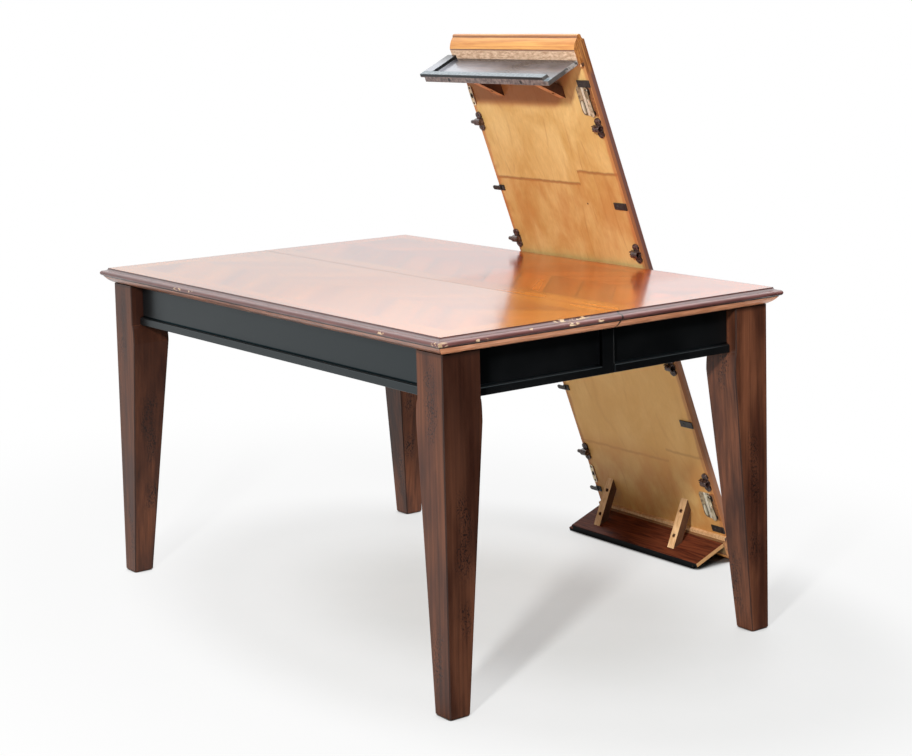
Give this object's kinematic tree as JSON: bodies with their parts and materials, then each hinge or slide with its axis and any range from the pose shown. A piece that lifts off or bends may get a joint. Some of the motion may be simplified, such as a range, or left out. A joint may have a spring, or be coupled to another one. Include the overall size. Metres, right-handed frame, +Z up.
{
  "type": "extending dining table",
  "caption": "Rectangular dining table with tapered legs whose halves pull apart on geared wooden slides; its loose leaf leans against one long side.",
  "frame": {"origin": "on the floor, in the middle of the box that holds the closed table and the leaning leaf", "axes": "+Y along the seam and the long sides, +X across the seam from the near half to the far half and the leaf, +Z up"},
  "size_m": [1.2012, 1.372, 1.287],
  "materials": {
    "veneer": "honey-orange veneer under a glossy varnish",
    "moulding": "dark purple-brown stain, satin",
    "leg": "dark red-brown stain with black specks, satin",
    "apron": "black lacquer, satin",
    "ply": "bare plywood",
    "trim": "orange-brown varnish",
    "hardwood": "bare waxed hardwood",
    "brass": "plated, slightly dull",
    "steel": "plain",
    "nylon": "moulded nylon"
  },
  "bodies": {
    "far_half": {"far_top": "veneer", "far_long_moulding": "moulding", "far_left_moulding": "moulding", "far_right_moulding": "moulding", "far_left_leg": "leg", "far_right_leg": "leg", "far_long_apron": "apron", "far_left_apron": "apron", "far_right_apron": "apron", "far_left_corner_block": "hardwood", "far_right_corner_block": "hardwood", "left_far_rail": "hardwood", "right_far_rail": "hardwood", "left_far_rack": "nylon", "right_far_rack": "nylon", "table_left_lock_plate": "brass", "table_right_lock_plate": "brass"},
    "near_half": {"near_top": "veneer", "near_long_moulding": "moulding", "near_left_moulding": "moulding", "near_right_moulding": "moulding", "near_left_leg": "leg", "near_right_leg": "leg", "near_long_apron": "apron", "near_left_apron": "apron", "near_right_apron": "apron", "near_left_corner_block": "hardwood", "near_right_corner_block": "hardwood", "left_near_rail": "hardwood", "right_near_rail": "hardwood", "left_near_rack": "nylon", "right_near_rack": "nylon", "table_left_strike": "brass", "table_right_strike": "brass"},
    "left_middle_slide": {"left_middle_rail": "hardwood", "left_gear_pin": "steel"},
    "right_middle_slide": {"right_middle_rail": "hardwood", "right_gear_pin": "steel"},
    "left_gear_wheel": {"left_gear": "nylon"},
    "right_gear_wheel": {"right_gear": "nylon"},
    "table_left_lever": {"table_left_lock_lever": "steel"},
    "table_right_lever": {"table_right_lock_lever": "steel"},
    "leaf": {"leaf_panel": "ply", "leaf_upper_moulding": "trim", "leaf_lower_moulding": "trim", "leaf_upper_apron": "apron", "leaf_lower_apron": "apron", "leaf_upper_cleat": "ply", "leaf_lower_cleat": "ply", "leaf_upper_gusset_a": "ply", "leaf_upper_gusset_b": "ply", "leaf_lower_gusset_a": "ply", "leaf_lower_gusset_b": "ply", "leaf_upper_lock_plate": "brass", "leaf_lower_lock_plate": "brass", "leaf_upper_strike": "brass", "leaf_lower_strike": "brass"},
    "leaf_upper_lever": {"leaf_upper_lock_lever": "steel"},
    "leaf_lower_lever": {"leaf_lower_lock_lever": "steel"}
  },
  "joints": [
    {"name": "extend", "type": "slide", "parent": "far_half", "child": "near_half", "axis": [-1, 0, 0], "range_m": [0, 0.475]},
    {"name": "left_middle_travel", "type": "slide", "parent": "far_half", "child": "left_middle_slide", "axis": [-1, 0, 0], "range_m": [0, 0.24]},
    {"name": "right_middle_travel", "type": "slide", "parent": "far_half", "child": "right_middle_slide", "axis": [-1, 0, 0], "range_m": [0, 0.24]},
    {"name": "left_gear_turn", "type": "hinge", "parent": "left_middle_slide", "child": "left_gear_wheel", "pos_m": [-0.14342, 0.34, 0.7247], "axis": [0, 0, 1], "range_deg": [-975, 0]},
    {"name": "right_gear_turn", "type": "hinge", "parent": "right_middle_slide", "child": "right_gear_wheel", "pos_m": [-0.14342, -0.34, 0.7247], "axis": [0, 0, 1], "range_deg": [0, 975]},
    {"name": "table_left_lock", "type": "hinge", "parent": "far_half", "child": "table_left_lever", "pos_m": [-0.12562, 0.53, 0.725], "axis": [0, 0, 1], "range_deg": [0, 90]},
    {"name": "table_right_lock", "type": "hinge", "parent": "far_half", "child": "table_right_lever", "pos_m": [-0.12562, -0.53, 0.725], "axis": [0, 0, 1], "range_deg": [0, 90]},
    {"name": "leaf_lift", "type": "slide", "parent": "far_half", "child": "leaf", "axis": [0, 0, 1], "range_m": [0, 0.8]},
    {"name": "leaf_upper_lock", "type": "hinge", "parent": "leaf", "child": "leaf_upper_lever", "pos_m": [0.16412, -0.2437, 1.13759], "axis": [0.9375, 0, 0.348], "range_deg": [0, 90]},
    {"name": "leaf_lower_lock", "type": "hinge", "parent": "leaf", "child": "leaf_lower_lever", "pos_m": [0.53296, -0.2437, 0.14383], "axis": [0.9375, 0, 0.348], "range_deg": [0, 90]}
  ],
  "couplings": [
    {"joint": "left_middle_travel", "follows": "extend", "ratio": 0.5},
    {"joint": "right_middle_travel", "follows": "extend", "ratio": 0.5},
    {"joint": "left_gear_turn", "follows": "extend", "rad_per_m": -35.714},
    {"joint": "right_gear_turn", "follows": "extend", "rad_per_m": 35.714}
  ]
}
